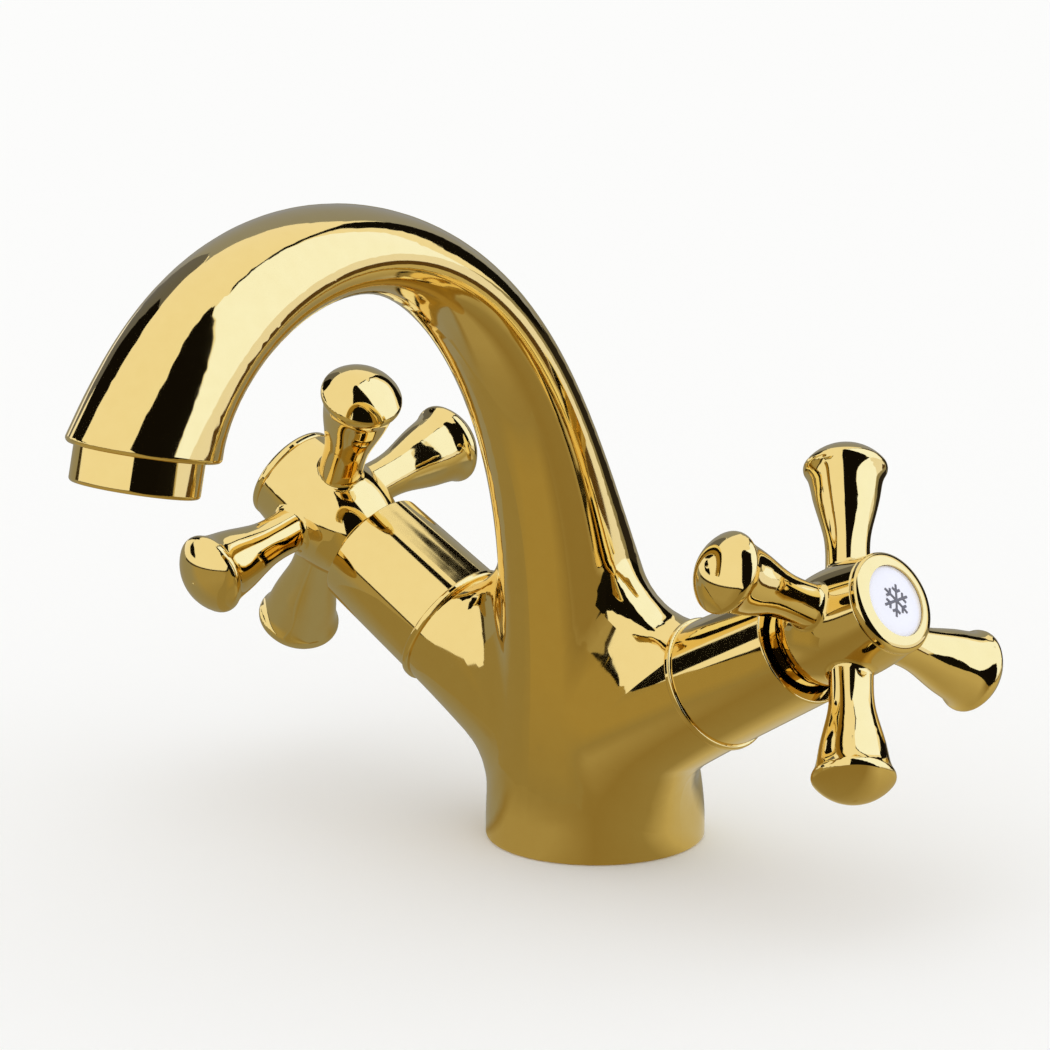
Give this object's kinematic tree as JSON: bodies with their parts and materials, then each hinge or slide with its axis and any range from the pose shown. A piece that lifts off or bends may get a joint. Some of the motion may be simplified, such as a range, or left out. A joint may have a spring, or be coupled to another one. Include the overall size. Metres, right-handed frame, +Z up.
{
  "type": "bathroom mixer faucet",
  "caption": "Deck-mounted basin mixer faucet with a swan-neck spout, angled arms and cross handles on quarter-turn valves, polished gold finish.",
  "frame": {"origin": "centre of the base on the deck face", "axes": "+Z up, -Y along the spout, +X to the cold handle"},
  "size_m": [0.1898, 0.1963, 0.1556],
  "materials": {
    "gold_plate": "mirror-polished gold plate on cast brass",
    "valve_brass": "plain machined brass",
    "steel": "stainless steel, satin",
    "seal_rubber": "black moulded rubber",
    "white_plastic": "moulded white acetal",
    "valve_ceramic": "lapped alumina",
    "porcelain": "white glazed porcelain"
  },
  "bodies": {
    "body": {"faucet_body": "gold_plate", "base_gasket": "seal_rubber", "aerator_housing": "gold_plate", "aerator_insert": "white_plastic", "aerator_screen": "steel", "aerator_washer": "seal_rubber", "hot_sleeve": "gold_plate", "hot_headwork": "valve_brass", "hot_headwork_seal": "seal_rubber", "hot_seat_seal": "seal_rubber", "hot_fixed_disc": "valve_ceramic", "hot_thrust_washer": "white_plastic", "cold_sleeve": "gold_plate", "cold_headwork": "valve_brass", "cold_headwork_seal": "seal_rubber", "cold_seat_seal": "seal_rubber", "cold_fixed_disc": "valve_ceramic", "cold_thrust_washer": "white_plastic"},
    "hot_handle_set": {"hot_handle": "gold_plate", "hot_handle_screw": "steel", "hot_index_bezel": "gold_plate", "hot_index_disc": "porcelain", "hot_spindle": "valve_brass", "hot_spindle_seals": "seal_rubber", "hot_spindle_clip": "steel", "hot_moving_disc": "valve_ceramic"},
    "cold_handle_set": {"cold_handle": "gold_plate", "cold_handle_screw": "steel", "cold_index_bezel": "gold_plate", "cold_index_disc": "porcelain", "cold_spindle": "valve_brass", "cold_spindle_seals": "seal_rubber", "cold_spindle_clip": "steel", "cold_moving_disc": "valve_ceramic"}
  },
  "joints": [
    {"name": "hot_valve_turn", "type": "hinge", "parent": "body", "child": "hot_handle_set", "pos_m": [0, -0.0041, 0.0207], "axis": [-0.8686, 0, 0.4955], "range_deg": [0, 90]},
    {"name": "cold_valve_turn", "type": "hinge", "parent": "body", "child": "cold_handle_set", "pos_m": [0, -0.0041, 0.0207], "axis": [-0.8686, 0, -0.4955], "range_deg": [0, 90]}
  ]
}
